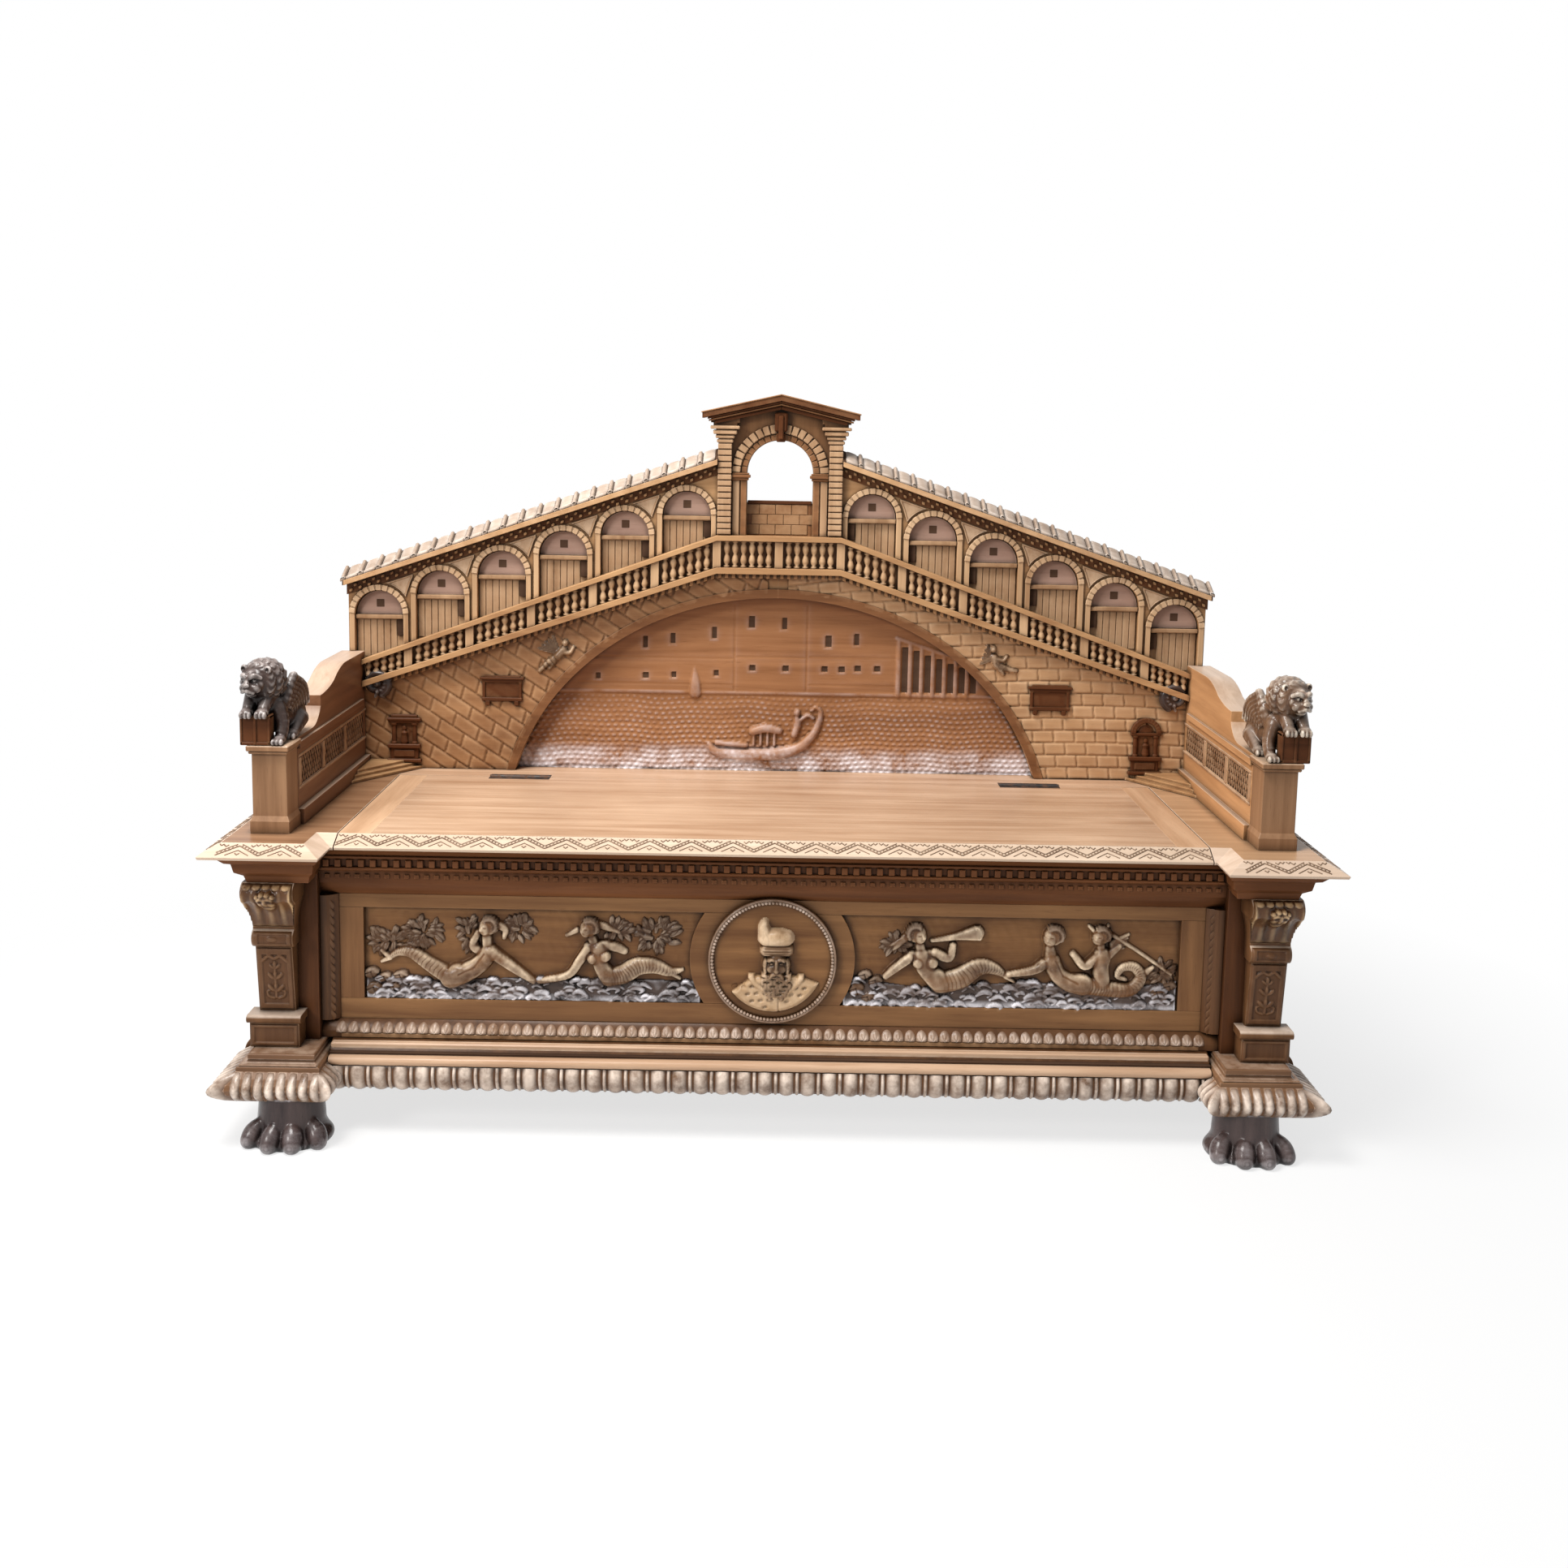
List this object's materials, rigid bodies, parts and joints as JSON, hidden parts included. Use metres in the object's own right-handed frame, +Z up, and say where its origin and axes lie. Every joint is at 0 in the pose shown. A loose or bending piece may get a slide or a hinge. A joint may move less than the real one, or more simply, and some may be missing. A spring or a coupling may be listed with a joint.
{
  "type": "hall settle",
  "caption": "Carved walnut hall settle: chest with hinged seat lid, lion arms and a back shaped as an arched bridge with arcade, balustrade and portico.",
  "frame": {"origin": "on the floor, under the middle of the settle's overall width and depth", "axes": "+X to the viewer's right along the seat, +Y to the back, +Z up"},
  "size_m": [1.88, 0.65, 1.279],
  "materials": {
    "carved_walnut": "waxed, worn",
    "dark_walnut": "waxed, dark",
    "seat_walnut": "waxed, worn",
    "carcass_pine": "bare",
    "hinge_iron": "aged"
  },
  "bodies": {
    "settle": {"arcade_arches": "carved_walnut", "arcade_doors": "carved_walnut", "archivolt": "carved_walnut", "arm_board_left": "carved_walnut", "arm_board_right": "carved_walnut", "arm_posts": "carved_walnut", "balusters": "carved_walnut", "balustrade_posts": "carved_walnut", "base_moulding_ends": "carved_walnut", "base_moulding_front": "carved_walnut", "bridge_backing": "carved_walnut", "bridge_wall_left": "carved_walnut", "bridge_wall_right": "carved_walnut", "chest_back": "carcass_pine", "chest_floor": "carcass_pine", "console_left": "carved_walnut", "console_right": "carved_walnut", "corner_steps": "seat_walnut", "dentil_cornice": "carved_walnut", "end_cornices": "carved_walnut", "end_frames": "carved_walnut", "end_panels": "carved_walnut", "floor_bearers": "carcass_pine", "foot_front_left": "dark_walnut", "foot_front_right": "dark_walnut", "foot_rail": "carved_walnut", "front_bottom_rail": "carved_walnut", "front_centre_block": "carved_walnut", "front_stiles": "carved_walnut", "front_top_rail": "carved_walnut", "handrail": "carved_walnut", "hinge_leaves_fixed": "hinge_iron", "hinge_pins": "hinge_iron", "hinge_screws_fixed": "hinge_iron", "leaf_moulding": "carved_walnut", "lid_ledges": "carcass_pine", "lion_left": "dark_walnut", "lion_right": "dark_walnut", "medallion": "carved_walnut", "medallion_ring": "carved_walnut", "pedestal_bases": "carved_walnut", "pediment": "carved_walnut", "piers": "carved_walnut", "portico": "carved_walnut", "rear_feet": "dark_walnut", "rear_posts": "carved_walnut", "rear_top_rail": "carcass_pine", "relief_panel_left": "carved_walnut", "relief_panel_right": "carved_walnut", "roofs": "carved_walnut", "seat_back_rail": "seat_walnut", "seat_end_left": "seat_walnut", "seat_end_right": "seat_walnut", "wall_plaques": "carved_walnut"},
    "lid": {"lid_boards": "seat_walnut", "lid_cleats": "seat_walnut", "lid_edge_moulding": "seat_walnut", "hinge_leaves_lid": "hinge_iron", "hinge_screws_lid": "hinge_iron"}
  },
  "joints": [
    {"name": "lid_hinge", "type": "hinge", "parent": "settle", "child": "lid", "pos_m": [0, 0.213, 0.525], "axis": [-1, 0, 0], "range_deg": [0, 94]}
  ]
}
